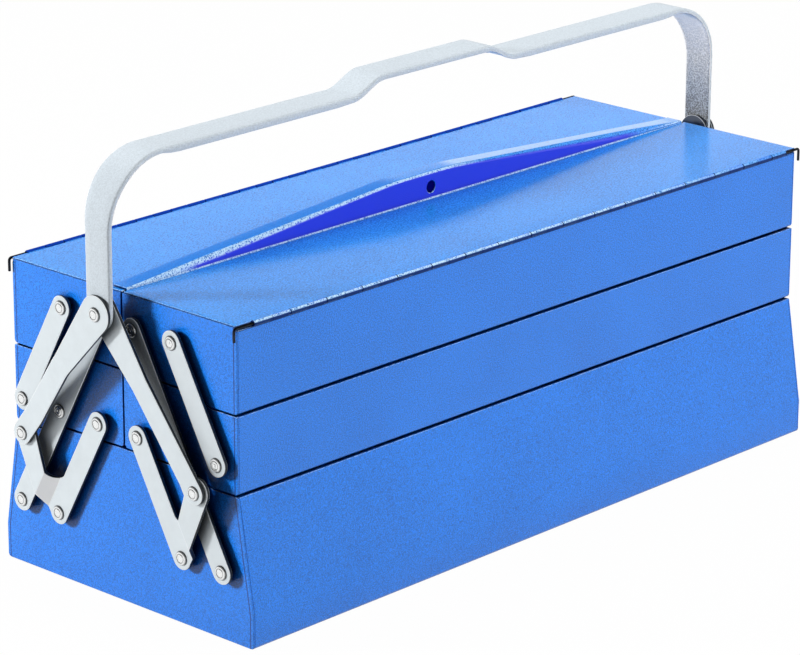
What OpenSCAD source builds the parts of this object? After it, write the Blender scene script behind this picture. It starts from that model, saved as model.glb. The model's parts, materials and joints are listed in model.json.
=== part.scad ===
// Five-tray cantilever tool box in sheet steel: a flared base, two middle and two
// upper trays that spread to the front and the back on riveted links, two hinged
// lids, and a strap handle carried by four long arms.
// Millimetres. X runs along the box, -Y is the front, +Z is up, the origin lies at
// the middle of the underside.

/* [Box] */
// Length over the end panels
box_l = 535; // [420:5:700]
// Depth over the closed trays and lids, front to back
box_d = 199; // [190:1:230]
// Depth over the foot of the base
foot_d = 223; // [205:1:260]
// Height of the upright foot strip of the base
foot_h = 22; // [10:1:40]
// Height of the base at its long walls
base_h = 95; // [85:1:120]
// Height of each middle tray at its long wall
middle_h = 49.8; // [44:0.1:62]
// Height of each upper tray at its long wall
upper_h = 54.8; // [50:0.1:64]
// Height by which the rims and floors rise in the middle of the box
rim_step = 6; // [3:0.5:9]
// Distance from the middle plane to the top of the rim's slope
step_in = 62; // [50:1:66]
// Distance from the middle plane to the foot of the rim's slope
step_out = 77; // [70:1:88]

/* [Sheet] */
// Thickness of the tray, base and lid sheet
sheet_t = 1; // [0.8:0.1:1.4]
// Thickness of the end panels
panel_t = 1.2; // [1:0.1:1.6]
// Height of the folded hem on the rims
hem_h = 6; // [3:0.5:9]
// Depth of the end panel's inner weld flanges
weld_flange = 10; // [6:1:14]
// Outer bend radius along the lower edges
bend_r = 2.5; // [1.5:0.5:4]
// Gap between one tray and the rim below it
seam_gap = 1.2; // [0.6:0.1:2]
// Half of the gap between the front and the back trays
half_gap = 0.6; // [0.4:0.1:1]

/* [Links] */
// Distance between the two pivots of a link
link_len = 77.9; // [70:0.1:82]
// Lean of the closed links from the upright, in degrees
link_lean = 28.9; // [24:0.1:32]
// Spacing of the parallel links
link_pair = 34.4; // [28:0.1:40]
// Distance of the outermost base pivot from the middle plane
pivot_y = 89.9; // [84:0.1:94]
// Depth of the base pivots under the rim of the base
pivot_drop = 48.8; // [40:0.1:54]
// Width of the links
link_w = 15.4; // [12:0.2:18]
// Thickness of the links, bent plates and arms
link_t = 2.4; // [2:0.1:3]
// Gap between the end panel and the links
link_gap = 3.4; // [2.5:0.1:4]

/* [Bent plate and arms] */
// Arm pivot on the bent plate, measured along the plate from its base pivot
wing_s = 33.6; // [30:0.1:38]
// Arm pivot on the bent plate, measured square to the plate
wing_d = 43.2; // [38:0.1:48]
// Lean of the wing from the length of the bent plate, in degrees
wing_turn = 50; // [44:1:56]
// Width of the wing of the bent plate
wing_w = 14.8; // [12:0.2:18]
// Width of the wing's round end at the arm pivot
wing_end_w = 18.4; // [16:0.2:22]
// Radius of the notch between the plate and its wing
notch_r = 6; // [4:0.5:7]
// Height by which the wing stands off the flat of the bent plate
wing_lift = 7.2; // [6.8:0.1:9]
// Gap between the wing and the long arm
arm_gap = 0.3; // [0.3:0.1:1]
// Width of the long arm at the handle
arm_w_top = 24; // [20:0.5:28]
// Width of the long arm beyond its taper
arm_w = 15; // [12:0.5:18]
// Length of the long arm's taper, from the handle pivot
arm_taper = 50; // [35:1:60]
// Depth of the handle pivot under the rims of the upper trays, box closed
handle_drop = 8.9; // [4:0.1:14]

/* [Handle] */
// Height of the top of the handle above its pivot
handle_rise = 97; // [90:1:120]
// Width of the handle legs
leg_w = 21; // [18:0.5:24]
// Width of the handle top
grip_w = 25.8; // [24:0.2:30]
// Thickness of the handle strap
strap_t = 3.2; // [2:0.1:4]
// Outer radius of the handle bends
handle_bend = 44; // [30:1:60]
// Half length of the raised grip, at its top
grip_half = 49; // [40:1:70]
// Length of each slope beside the grip
grip_slope = 28; // [20:1:40]
// Height of the raised grip over the rest of the handle top
grip_lift = 9.5; // [5:0.5:15]
// Depth of the turned-down edges of the handle top
edge_h = 4.8; // [3.5:0.1:8]
// Thickness of the turned-down edges
edge_t = 2; // [1.5:0.1:3]

/* [Lids] */
// Height of the locking ridge at the middle of the front lid
ridge_h = 18.1; // [12:0.1:24]
// Half length of the ridge at its top
ridge_top = 28; // [20:1:60]
// Half length of the ridge at its foot
ridge_foot = 260; // [200:1:265]
// Depth of the lip over the back lid
lip_w = 12.5; // [8:0.5:16]
// Radius of the padlock hole
lock_r = 4.2; // [3:0.1:5]
// Distance of the padlock hole from the middle of the ridge
lock_x = 6.5; // [0:0.5:12]
// Height of the padlock hole over the lid
lock_z = 7.9; // [7:0.1:11]
// Half length of the back lid's hasp flange
hasp_half = 34; // [24:1:60]
// Distance of the hasp flange behind the front lid's flange
hasp_in = 8; // [2:0.5:9]
// Distance of the hinge axis outside the tray wall
hinge_out = 0.9; // [0.7:0.1:1.2]
// Depth of the hinge axis under the top of the lid
hinge_drop = 0.8; // [0.5:0.05:0.9]
// Outer radius of the hinge barrel
barrel_r = 1.8; // [1.6:0.1:2.4]
// Radius of the hinge wire
wire_r = 0.9; // [0.7:0.05:1.1]
// Number of knuckles along each hinge, odd
knuckles = 33; // [17:2:41]
// Length of bare hinge wire at each end
hinge_end = 12.5; // [8:0.5:30]
// Length of the wire's turned-down end
wire_drop = 8.5; // [5:0.5:12]

/* [Rivets] */
// Radius of the rivet shanks
rivet_r = 2.5; // [2:0.1:3]
// Radius of the rivet heads
head_r = 4.6; // [4:0.1:6]
// Height of the rivet heads
head_h = 1.4; // [1:0.1:2]
// Radius of the handle pivot's shank
pivot_r = 3; // [2.5:0.1:4]
// Running clearance between a shank and its hole
fit = 0.05; // [0.02:0.01:0.1]

/* [Hidden] */
$fn = 64;
eps = 0.01;
seat = 0.003;                       // straight edges lie this far inside round ends

half_l = box_l / 2;
wall_y = box_d / 2;
foot_y = foot_d / 2;
hem_t = 1.2 * sheet_t;              // extra thickness of the folded hem
play = 0.1;                         // side play of a part held by a rivet
rest_gap = 0.2;                     // gap under a closed lid
knuckle_gap = 0.4;                  // end gap between two knuckles
edge_gap = 0.4;                     // gap around a hinge barrel

// Levels of the three tiers, at the long walls
middle_z = base_h + seam_gap;
middle_top = middle_z + middle_h;
upper_z = middle_top + seam_gap;
upper_top = upper_z + upper_h;
lid_z = upper_top + rest_gap;
lid_top = lid_z + sheet_t;
flat_top = 0;                       // rim step of the upper trays, closed by flat lids

// Pivots of the front side, as [y, z]; the back side is their mirror image
link_vec = link_len * [sin(link_lean), cos(link_lean)];
pair_vec = [link_pair, 0];
base_outer = [-pivot_y, base_h - pivot_drop];
base_inner = base_outer + pair_vec;
mid_centre = base_outer + link_vec;
mid_inner = base_inner + link_vec;
mid_outer = mid_centre - pair_vec;
top_inner = mid_centre + link_vec;
top_outer = mid_outer + link_vec;
plate_turn = 90 - link_lean;
handle_pivot_z = upper_top - handle_drop;
wing_pivot = base_inner + wing_s * [cos(plate_turn), sin(plate_turn)]
           + wing_d * [-sin(plate_turn), cos(plate_turn)];
handle_pivot = [0, handle_pivot_z];
arm_len = norm(handle_pivot - wing_pivot);
arm_turn = atan2(wing_pivot[1] - handle_pivot_z, wing_pivot[0]);

// Layers outside the end panel, measured from its outer face
link_x = link_gap;
link_face = link_x + link_t;
wing_x = link_x + wing_lift;
wing_face = wing_x + link_t;
arm_x = wing_face + arm_gap;
arm_face = arm_x + link_t;
washer_t = 0.3;
strap_x = arm_face + washer_t + play;
strap_face = strap_x + strap_t;
outer_arm_x = strap_face + washer_t + play;
outer_arm_face = outer_arm_x + link_t;
shoulder_r = rivet_r + 1.7;
tail_r = rivet_r + 1.5;
tail_h = 1.5;

// Bend lines of the bent plate, square to its length, and of the outer arms
wing_bend_in = link_w / 2 + 2.3;
wing_bend_out = wing_bend_in + 8.3;
joggle_start = 54;
joggle_end = 104;

// Hinge
hinge_y = wall_y + hinge_out;
hinge_z = lid_top - hinge_drop;
bore_r = wire_r + fit;
hinge_half = half_l - hinge_end;
pitch = 2 * hinge_half / knuckles;
wire_bend = 2 * wire_r;
lid_edge = hinge_y - barrel_r - edge_gap;
corner_edge = hinge_y - wire_r - edge_gap;
low_wall_top = hinge_z - barrel_r - edge_gap;

// Ridge: sheet planes on either side of the middle plane
ridge_y = -2;
back_edge = -0.4;
lip_clear = 0.5;
ridge_min = lip_clear + sheet_t;
ridge_slope = atan((ridge_h - ridge_min) / (ridge_foot - ridge_top));
ridge_end = half_l - 3;

// Handle
leg_x = half_l + strap_x;
grip_points = 8;

// ---------------------------------------------------------------- helpers

// Places a front-side child on the front (side -1) or the back (side 1)
module on_side(side) {
    if (side < 0) children();
    else mirror([0, 1, 0]) children();
}

// Places a child made outside x = 0 at the left (end -1) or the right (end 1) panel
module on_end(end) {
    if (end > 0) translate([half_l, 0, 0]) children();
    else mirror([1, 0, 0]) translate([half_l, 0, 0]) children();
}

// Turns flat work drawn in [y, z], with its thickness along z, to stand across X
module across_x() {
    rotate([90, 0, 90]) children();
}

// Extrudes a section drawn in [y, z] along the box, between two x values
module along_box(from_x, to_x) {
    translate([from_x, 0, 0]) across_x() linear_extrude(to_x - from_x) children();
}

// Flat bar with round ends between two points, with its own radius at each
module bar(p, q, rp, rq, h) {
    run = norm(q - p);
    side_turn = asin((rp - rq) / run);
    tp = (rp - seat) * [sin(side_turn), cos(side_turn)];
    tq = [run, 0] + (rq - seat) * [sin(side_turn), cos(side_turn)];
    translate([p[0], p[1], 0]) rotate([0, 0, atan2(q[1] - p[1], q[0] - p[0])]) {
        cylinder(r = rp, h = h);
        translate([run, 0, 0]) cylinder(r = rq, h = h);
        linear_extrude(h) polygon([tp, tq, [tq[0], -tq[1]], [tp[0], -tp[1]]]);
    }
}

// Points of an arc about a centre, from one angle to another
function arc(centre, r, from, to, steps = 4) =
    [for (i = [0:steps]) let (a = from + (to - from) * i / steps) centre + r * [cos(a), sin(a)]];

// Rivet along X through a stack: tail, shank, optional shoulder and domed head
module rivet(x_tail, x_head, r, shoulder = 0) {
    dome_r = (head_r * head_r + head_h * head_h) / head_h;
    across_x() {
        translate([0, 0, x_tail - tail_h]) cylinder(r = tail_r, h = tail_h);
        translate([0, 0, x_tail - eps]) cylinder(r = r, h = x_head - x_tail + 2 * eps);
        if (shoulder > 0) cylinder(r = shoulder_r, h = shoulder);
        translate([0, 0, x_head]) intersection() {
            cylinder(r = head_r, h = head_h);
            translate([0, 0, head_h - dome_r]) sphere(r = dome_r, $fn = 96);
        }
    }
}

// ---------------------------------------------------------------- base

// Inner shift of a wall foot where the wall leans
function lean_shift(run, rise) = sheet_t * tan(atan2(run, rise) / 2);

module base_section() {
    flare = lean_shift(foot_y - wall_y, base_h - foot_h);
    left = concat(
        [[-wall_y, base_h], [-foot_y, foot_h]],
        arc([-foot_y + bend_r, bend_r], bend_r, 180, 270)
    );
    right = [for (i = [len(left) - 1:-1:0]) [-left[i][0], left[i][1]]];
    inside_left = concat(
        [
            [-wall_y + sheet_t + hem_t, base_h],
            [-wall_y + sheet_t + hem_t - flare, base_h - hem_h],
            [-wall_y + sheet_t - flare, base_h - hem_h],
            [-foot_y + sheet_t, foot_h + flare]
        ],
        arc([-foot_y + bend_r, bend_r], bend_r - sheet_t, 180, 270)
    );
    inside_right = [for (i = [len(inside_left) - 1:-1:0]) [-inside_left[i][0], inside_left[i][1]]];
    difference() {
        polygon(concat(left, right));
        translate([0, eps]) polygon(concat(inside_left, inside_right));
    }
}

module base_trough() {
    color("#3a78d8") along_box(-half_l + panel_t, half_l - panel_t) base_section();
}

module base_end(end) {
    inner_wall = wall_y - sheet_t - hem_t - 0.1;
    color("#3f80e2") on_end(end) difference() {
        union() {
            translate([-panel_t, 0, 0]) along_box(0, panel_t) polygon(concat(
                [
                    [wall_y, base_h], [step_out, base_h], [step_in, base_h + rim_step],
                    [-step_in, base_h + rim_step], [-step_out, base_h], [-wall_y, base_h],
                    [-foot_y, foot_h]
                ],
                arc([-foot_y + bend_r, bend_r], bend_r, 180, 270),
                arc([foot_y - bend_r, bend_r], bend_r, 270, 360),
                [[foot_y, foot_h]]
            ));
            // Folded hem behind the raised rim
            translate([-panel_t - hem_t, -step_in, base_h + rim_step - hem_h])
                cube([hem_t + eps, 2 * step_in, hem_h]);
            // Weld flanges inside the long walls
            for (side = [-1, 1]) on_side(side)
                translate([-panel_t - weld_flange, -inner_wall, foot_h])
                    cube([weld_flange + eps, sheet_t, base_h - hem_h - foot_h - 1]);
        }
        for (side = [-1, 1]) on_side(side)
            for (p = [base_outer, base_inner]) pivot_hole(p);
    }
}

// Hole through an end panel for a rivet shank
module pivot_hole(p) {
    translate([-panel_t - 1, p[0], p[1]]) across_x() cylinder(r = rivet_r + fit, h = panel_t + 2);
}

// ---------------------------------------------------------------- trays

// Section of a front tray: floor stepped up towards the middle, walls on both sides
module tray_section(z, top_out, top_in, hem_out, hem_in) {
    shift = sheet_t * tan(atan2(rim_step, step_out - step_in) / 2);
    mouth_out = -wall_y + sheet_t + hem_out;
    mouth_in = -half_gap - sheet_t - hem_in;
    outer = concat(
        [[mouth_out, top_out], [-wall_y, top_out]],
        arc([-wall_y + bend_r, z + bend_r], bend_r, 180, 270),
        [[-step_out, z], [-step_in, z + rim_step]],
        arc([-half_gap - bend_r, z + rim_step + bend_r], bend_r, 270, 360),
        [[-half_gap, top_in], [mouth_in, top_in]]
    );
    inner = concat(
        [
            [mouth_in, top_in + 1],
            [mouth_in, top_in - hem_h],
            [-half_gap - sheet_t, top_in - hem_h]
        ],
        arc([-half_gap - bend_r, z + rim_step + bend_r], bend_r - sheet_t, 360, 270),
        [[-step_in - shift, z + rim_step + sheet_t], [-step_out - shift, z + sheet_t]],
        arc([-wall_y + bend_r, z + bend_r], bend_r - sheet_t, 270, 180),
        [
            [-wall_y + sheet_t, top_out - hem_h],
            [mouth_out, top_out - hem_h],
            [mouth_out, top_in + 1]
        ]
    );
    difference() {
        polygon(outer);
        polygon(inner);
    }
}

// End panel of a front tray, with rivet holes
module tray_end(end, z, top, top_step, holes) {
    outer_in = wall_y - sheet_t - hem_t - 0.1;
    floor_z = z + rim_step + sheet_t + bend_r;
    color("#4385e8") on_end(end) difference() {
        union() {
            translate([-panel_t, 0, 0]) along_box(0, panel_t) polygon(concat(
                [[-half_gap, top + top_step], [-step_in, top + top_step], [-step_out, top], [-wall_y, top]],
                arc([-wall_y + bend_r, z + bend_r], bend_r, 180, 270),
                [[-step_out, z], [-step_in, z + rim_step]],
                arc([-half_gap - bend_r, z + rim_step + bend_r], bend_r, 270, 360)
            ));
            translate([-panel_t - hem_t, -step_in, top + top_step - hem_h])
                cube([hem_t + eps, step_in - half_gap - sheet_t - hem_t - 0.1, hem_h]);
            translate([-panel_t - weld_flange, -outer_in, floor_z])
                cube([weld_flange + eps, sheet_t, top - hem_h - floor_z - 1]);
        }
        for (p = holes) pivot_hole(p);
    }
}

module middle_trough(side) {
    color("#3a78d8") on_side(side) along_box(-half_l + panel_t, half_l - panel_t)
        tray_section(middle_z, middle_top, middle_top + rim_step, hem_t, hem_t);
}

module middle_end(side, end) {
    on_side(side) tray_end(end, middle_z, middle_top, rim_step, [mid_outer, mid_centre, mid_inner]);
}

// True cylinders of the hinge barrel from one x to another
module barrel(from_x, to_x) {
    translate([from_x, -hinge_y, hinge_z]) across_x() cylinder(r = barrel_r, h = to_x - from_x);
}

module barrel_bore() {
    translate([-half_l, -hinge_y, hinge_z]) across_x() cylinder(r = bore_r, h = box_l);
}

module upper_trough(side) {
    color("#3a78d8") on_side(side) {
        difference() {
            union() {
                along_box(-half_l + panel_t, half_l - panel_t)
                    tray_section(upper_z, low_wall_top, upper_top, 0, hem_t);
                for (i = [1:2:knuckles - 2]) {
                    from_x = -hinge_half + i * pitch + knuckle_gap / 2;
                    to_x = from_x + pitch - knuckle_gap;
                    barrel(from_x, to_x);
                    translate([from_x, -wall_y, low_wall_top - 1])
                        cube([to_x - from_x, sheet_t, hinge_z - wire_r / 2 - low_wall_top + 1]);
                }
            }
            barrel_bore();
        }
    }
}

module upper_end(side, end) {
    on_side(side) intersection() {
        tray_end(end, upper_z, upper_top, flat_top, [top_outer, top_inner]);
        // The rim stops under the hinge wire at the outer corner
        translate([-box_l, 0, 0]) along_box(0, 2 * box_l) polygon([
            [0, 0], [0, 2 * upper_top], [-corner_edge, 2 * upper_top],
            [-corner_edge, low_wall_top], [-box_d, low_wall_top], [-box_d, 0]
        ]);
    }
}

// ---------------------------------------------------------------- lids and hinges

// Lid sheet of the front side with its fingers and barrels, from the hinge to inner_y
module lid_sheet(inner_y) {
    difference() {
        union() {
            translate([-half_l, -lid_edge, lid_z]) cube([box_l, lid_edge + inner_y, sheet_t]);
            for (end = [-1, 1]) {
                from_x = end < 0 ? -half_l : hinge_half + knuckle_gap;
                translate([from_x, -corner_edge, lid_z])
                    cube([hinge_end - knuckle_gap, corner_edge - lid_edge + eps, sheet_t]);
            }
            for (i = [0:2:knuckles - 1]) {
                from_x = -hinge_half + i * pitch + knuckle_gap / 2;
                to_x = from_x + pitch - knuckle_gap;
                barrel(from_x, to_x);
                translate([from_x, -hinge_y + bore_r + 0.3, lid_z])
                    cube([to_x - from_x, hinge_y - bore_r - 0.3 - lid_edge + eps, sheet_t]);
            }
        }
        barrel_bore();
    }
}

// Locking ridge: an upright flange and a lip, both under one broken top line
module ridge() {
    half_line = [[ridge_top, ridge_h], [ridge_foot, ridge_min], [ridge_end, ridge_min]];
    top_line = concat([for (i = [2:-1:0]) [-half_line[i][0], half_line[i][1]]], half_line);
    under_line = [for (i = [5:-1:0]) top_line[i] - [0, sheet_t]];
    translate([0, ridge_y + sheet_t, lid_top]) rotate([90, 0, 0]) linear_extrude(sheet_t)
        polygon(concat([[-ridge_end, -sheet_t / 2]], top_line, [[ridge_end, -sheet_t / 2]]));
    translate([0, ridge_y + lip_w, lid_top]) rotate([90, 0, 0]) linear_extrude(lip_w)
        polygon(concat(top_line, under_line));
}

// Cutter of the padlock hole, through both flanges
module lock_hole() {
    translate([lock_x, ridge_y - 5, lid_top + lock_z]) rotate([-90, 0, 0]) cylinder(r = lock_r, h = hasp_in + 12);
}

module front_lid() {
    color("#5b9bf2") difference() {
        union() {
            lid_sheet(ridge_y + sheet_t);
            ridge();
        }
        lock_hole();
    }
}

module back_lid() {
    hasp_h = ridge_h - sheet_t - 2 * lip_clear - (hasp_half - ridge_top) * tan(ridge_slope);
    color("#5b9bf2") difference() {
        union() {
            on_side(1) lid_sheet(-back_edge);
            // Hasp flange under the ridge of the front lid
            translate([0, ridge_y + 2 * sheet_t + hasp_in, lid_z]) rotate([90, 0, 0]) linear_extrude(sheet_t)
                polygon([
                    [-hasp_half, 0], [hasp_half, 0], [hasp_half, hasp_h / 2 + sheet_t],
                    [hasp_half - 6, hasp_h + sheet_t], [-hasp_half + 6, hasp_h + sheet_t],
                    [-hasp_half, hasp_h / 2 + sheet_t]
                ]);
        }
        lock_hole();
    }
}

// The back wire's ends lie closer to the end panels
module hinge_wire(side) {
    color("#23262e") on_side(side) {
        straight = half_l + (side < 0 ? 3 : 1.5) - wire_bend;
        translate([-straight, -hinge_y, hinge_z]) across_x() cylinder(r = wire_r, h = 2 * straight);
        for (end = [-1, 1]) mirror([end < 0 ? 1 : 0, 0, 0]) translate([straight, -hinge_y, hinge_z - wire_bend]) {
            rotate([90, 0, 0]) rotate_extrude(angle = 90) translate([wire_bend, 0]) circle(wire_r, $fn = 32);
            translate([wire_bend, 0, wire_bend - wire_drop]) cylinder(r = wire_r, h = wire_drop - wire_bend);
        }
    }
}

// ---------------------------------------------------------------- links

// Straight link through a list of pivots, the first and the last at its round ends
module link(side, end, pivots) {
    color("#d5dadd") on_side(side) on_end(end) translate([link_x, 0, 0]) across_x() difference() {
        bar(pivots[0], pivots[len(pivots) - 1], link_w / 2, link_w / 2, link_t);
        for (p = pivots) translate([p[0], p[1], -1]) cylinder(r = rivet_r + fit, h = link_t + 2);
    }
}

module double_link(side, end) {
    link(side, end, [base_outer, mid_centre, top_inner]);
}

module short_link(side, end) {
    link(side, end, [mid_outer, top_outer]);
}

// Blank of the bent plate, x along it from the base pivot, y towards the wing
module plate_blank(h) {
    edge = link_w / 2;
    half = wing_w / 2;
    end_r = wing_end_w / 2;
    wing_axis = [cos(wing_turn), sin(wing_turn)];
    wing_norm = [-sin(wing_turn), cos(wing_turn)];
    centre = [wing_s, wing_d];
    foot = centre + wing_axis * (wing_bend_out - wing_d - half * wing_norm[1]) / wing_axis[1]
         + half * wing_norm;
    notch_run = (edge + notch_r - wing_d + (half + notch_r) * wing_norm[1]) / wing_axis[1];
    notch_side = centre + notch_run * wing_axis - half * wing_norm;
    notch = notch_side - notch_r * wing_norm;
    difference() {
        union() {
            bar([0, 0], [link_len, 0], edge, edge, h);
            translate([wing_s, wing_d, 0]) cylinder(r = end_r, h = h);
            linear_extrude(h) polygon([
                [0, 0], [-edge + 1.5, 4.2], [-4.2, 7.4], [-2.6, wing_bend_in],
                foot, centre + (end_r - seat) * wing_norm, centre - (end_r - seat) * wing_norm,
                notch_side, notch, [notch[0], edge - seat], [notch[0], 0]
            ]);
        }
        translate([notch[0], notch[1], -1]) cylinder(r = notch_r, h = h + 2);
    }
}

// Sheet with two bends that lifts from one layer to another between two lines
module joggled_sheet(line_a, line_b, layer_a, layer_b) {
    bend = link_t * tan(atan2(abs(layer_b - layer_a), line_b - line_a) / 2);
    shift = layer_b > layer_a ? -bend : bend;
    reach = 2 * link_len;
    polygon([
        [-reach, layer_a], [line_a, layer_a], [line_b, layer_b], [reach, layer_b],
        [reach, layer_b + link_t], [line_b + shift, layer_b + link_t],
        [line_a + shift, layer_a + link_t], [-reach, layer_a + link_t]
    ]);
}

module bent_plate(side, end) {
    reach = 2 * link_len;
    color("#d5dadd") on_side(side) on_end(end) across_x()
        translate([base_inner[0], base_inner[1], 0]) rotate([0, 0, plate_turn]) difference() {
            intersection() {
                plate_blank(wing_face + 1);
                translate([-reach / 2, 0, 0]) across_x() linear_extrude(2 * reach)
                    joggled_sheet(wing_bend_in, wing_bend_out, link_x, wing_x);
            }
            for (p = [[0, 0], [link_len, 0], [wing_s, wing_d]])
                translate([p[0], p[1], 0]) cylinder(r = rivet_r + fit, h = wing_face + 1);
        }
}

// Long arm from the handle pivot to the wing; the back arms lie outside the handle
module long_arm(side, end) {
    first_x = side < 0 ? arm_x : outer_arm_x;
    reach = 2 * link_len;
    color("#dadee0") on_side(side) on_end(end) across_x()
        translate([handle_pivot[0], handle_pivot[1], 0]) rotate([0, 0, arm_turn]) difference() {
            intersection() {
                union() {
                    bar([0, 0], [arm_taper, 0], arm_w_top / 2, arm_w / 2, outer_arm_face + 1);
                    bar([arm_taper, 0], [arm_len, 0], arm_w / 2, arm_w / 2, outer_arm_face + 1);
                }
                rotate([90, 0, 0]) translate([0, 0, -reach / 2]) linear_extrude(reach)
                    joggled_sheet(joggle_start, joggle_end, first_x, arm_x);
            }
            cylinder(r = pivot_r + fit, h = outer_arm_face + 1);
            translate([arm_len, 0, 0]) cylinder(r = rivet_r + fit, h = outer_arm_face + 1);
        }
}

// ---------------------------------------------------------------- handle

// Height of the handle's top face along x, rising to the grip in a smooth step
function grip_rise(x) =
    let (u = min(1, max(0, (grip_half + grip_slope - abs(x)) / grip_slope)))
    grip_lift * u * u * (3 - 2 * u);

// Arch of the handle with outer half width, rise and bend radius
module arch(w, h, r) {
    translate([-w, -leg_w]) square([2 * w, h - r + leg_w]);
    translate([-(w - r), 0]) square([2 * (w - r), h]);
    for (end = [-1, 1]) translate([end * (w - r), h - r]) circle(r, $fn = 96);
}

// Band that follows the top of the handle, of a given depth, out to half length reach
module top_band(reach, depth, lead) {
    inner = grip_half + grip_slope;
    half = [for (i = [0:grip_points]) grip_half + grip_slope * i / grip_points];
    xs = concat(
        [-reach, -inner - 1], [for (i = [len(half) - 1:-1:0]) -half[i]], half, [inner + 1, reach]
    );
    upper = [for (x = xs) [x, handle_rise + grip_rise(x)]];
    lower = [for (i = [len(xs) - 1:-1:0])
        let (x = xs[i], end = i == 0 || i == len(xs) - 1)
        [end ? x - sign(x) * lead : x, handle_rise + grip_rise(x) - depth]];
    polygon(concat(upper, lower));
}

module handle() {
    outer = leg_x + strap_t;
    top_reach = outer - handle_bend;
    grip_reach = grip_half + grip_slope + 1;
    color("#c3c8cb") translate([0, 0, handle_pivot_z]) difference() {
        union() {
            intersection() {
                translate([0, grip_w, 0]) rotate([90, 0, 0]) linear_extrude(2 * grip_w) {
                    difference() {
                        arch(outer, handle_rise, handle_bend);
                        translate([0, -eps]) arch(outer - strap_t, handle_rise - strap_t, handle_bend - strap_t);
                        translate([-grip_reach, handle_rise - 2 * strap_t])
                            square([2 * grip_reach, 3 * strap_t]);
                    }
                    top_band(grip_reach + eps, strap_t, 0);
                }
                // Legs with round feet, widening through the bends to the top
                along_box(-box_l, box_l) {
                    circle(leg_w / 2);
                    polygon([
                        [-leg_w / 2, 0], [leg_w / 2, 0], [leg_w / 2, handle_rise - handle_bend],
                        [grip_w / 2, handle_rise - handle_bend / 4], [grip_w / 2, 2 * handle_rise],
                        [-grip_w / 2, 2 * handle_rise], [-grip_w / 2, handle_rise - handle_bend / 4],
                        [-leg_w / 2, handle_rise - handle_bend]
                    ]);
                }
            }
            // Turned-down edges along the top
            for (side = [-1, 1]) on_side(side) translate([0, -grip_w / 2 + edge_t, 0])
                rotate([90, 0, 0]) linear_extrude(edge_t) top_band(top_reach, edge_h, 6);
        }
        translate([-box_l, 0, 0]) across_x() cylinder(r = pivot_r + fit, h = 2 * box_l);
    }
}

// ---------------------------------------------------------------- rivets

// One rivet through an end panel and the link on it, at each end of the box
module panel_rivets(side, pivots) {
    on_side(side) for (end = [-1, 1], p = pivots) on_end(end) translate([0, p[0], p[1]])
        rivet(-panel_t, link_face + play, rivet_r, link_gap - play);
}

module base_rivets() {
    color("#e2e5e6") for (side = [-1, 1]) panel_rivets(side, [base_outer, base_inner]);
}

module middle_rivets(side) {
    color("#e2e5e6") panel_rivets(side, [mid_outer, mid_centre, mid_inner]);
}

module upper_rivets(side) {
    color("#e2e5e6") panel_rivets(side, [top_outer, top_inner]);
}

// Head and shank of the wing pivot, held in the long arm
module arm_rivets(side) {
    color("#e2e5e6") on_side(side) for (end = [-1, 1]) on_end(end)
        translate([0, wing_pivot[0], wing_pivot[1]]) intersection() {
            rivet(0, arm_face, rivet_r);
            translate([wing_face + play, -box_d, -box_d]) cube([box_d, 2 * box_d, 2 * box_d]);
        }
}

// Tail of the wing pivot, held in the bent plate
module plate_rivets(side) {
    color("#e2e5e6") on_side(side) for (end = [-1, 1]) on_end(end)
        translate([0, wing_pivot[0], wing_pivot[1]]) intersection() {
            rivet(wing_x, arm_face, rivet_r);
            translate([0, -box_d, -box_d]) cube([wing_face, 2 * box_d, 2 * box_d]);
        }
}

// Shank and heads of the handle pivot, through both arms and the handle
module handle_pivots() {
    color("#e2e5e6") for (end = [-1, 1]) on_end(end) translate([0, 0, handle_pivot_z])
        rivet(arm_x - play, outer_arm_face + play, pivot_r);
}

module handle_washers() {
    washer_r = leg_w / 2 - 1;
    color("#e2e5e6") for (end = [-1, 1], x = [arm_face, strap_face]) on_end(end)
        translate([x + play / 2, 0, handle_pivot_z]) across_x() difference() {
            cylinder(r = washer_r, h = washer_t);
            translate([0, 0, -1]) cylinder(r = pivot_r + fit, h = washer_t + 2);
        }
}

// ---------------------------------------------------------------- nodes

base_trough();
base_end(-1);  // base_left_end
base_end(1);  // base_right_end
middle_trough(-1);  // front_middle_trough
middle_end(-1, -1);  // front_middle_left_end
middle_end(-1, 1);  // front_middle_right_end
middle_trough(1);  // back_middle_trough
middle_end(1, -1);  // back_middle_left_end
middle_end(1, 1);  // back_middle_right_end
upper_trough(-1);  // front_upper_trough
upper_end(-1, -1);  // front_upper_left_end
upper_end(-1, 1);  // front_upper_right_end
upper_trough(1);  // back_upper_trough
upper_end(1, -1);  // back_upper_left_end
upper_end(1, 1);  // back_upper_right_end
front_lid();
back_lid();
hinge_wire(-1);  // front_hinge_wire
hinge_wire(1);  // back_hinge_wire
double_link(-1, -1);  // front_left_double_link
double_link(-1, 1);  // front_right_double_link
double_link(1, -1);  // back_left_double_link
double_link(1, 1);  // back_right_double_link
bent_plate(-1, -1);  // front_left_bent_plate
bent_plate(-1, 1);  // front_right_bent_plate
bent_plate(1, -1);  // back_left_bent_plate
bent_plate(1, 1);  // back_right_bent_plate
short_link(-1, -1);  // front_left_short_link
short_link(-1, 1);  // front_right_short_link
short_link(1, -1);  // back_left_short_link
short_link(1, 1);  // back_right_short_link
long_arm(-1, -1);  // front_left_arm
long_arm(-1, 1);  // front_right_arm
long_arm(1, -1);  // back_left_arm
long_arm(1, 1);  // back_right_arm
handle();
base_rivets();
middle_rivets(-1);  // front_middle_rivets
middle_rivets(1);  // back_middle_rivets
upper_rivets(-1);  // front_upper_rivets
upper_rivets(1);  // back_upper_rivets
arm_rivets(-1);  // front_arm_rivets
arm_rivets(1);  // back_arm_rivets
plate_rivets(-1);  // front_plate_rivets
plate_rivets(1);  // back_plate_rivets
handle_pivots();
handle_washers();
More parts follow.
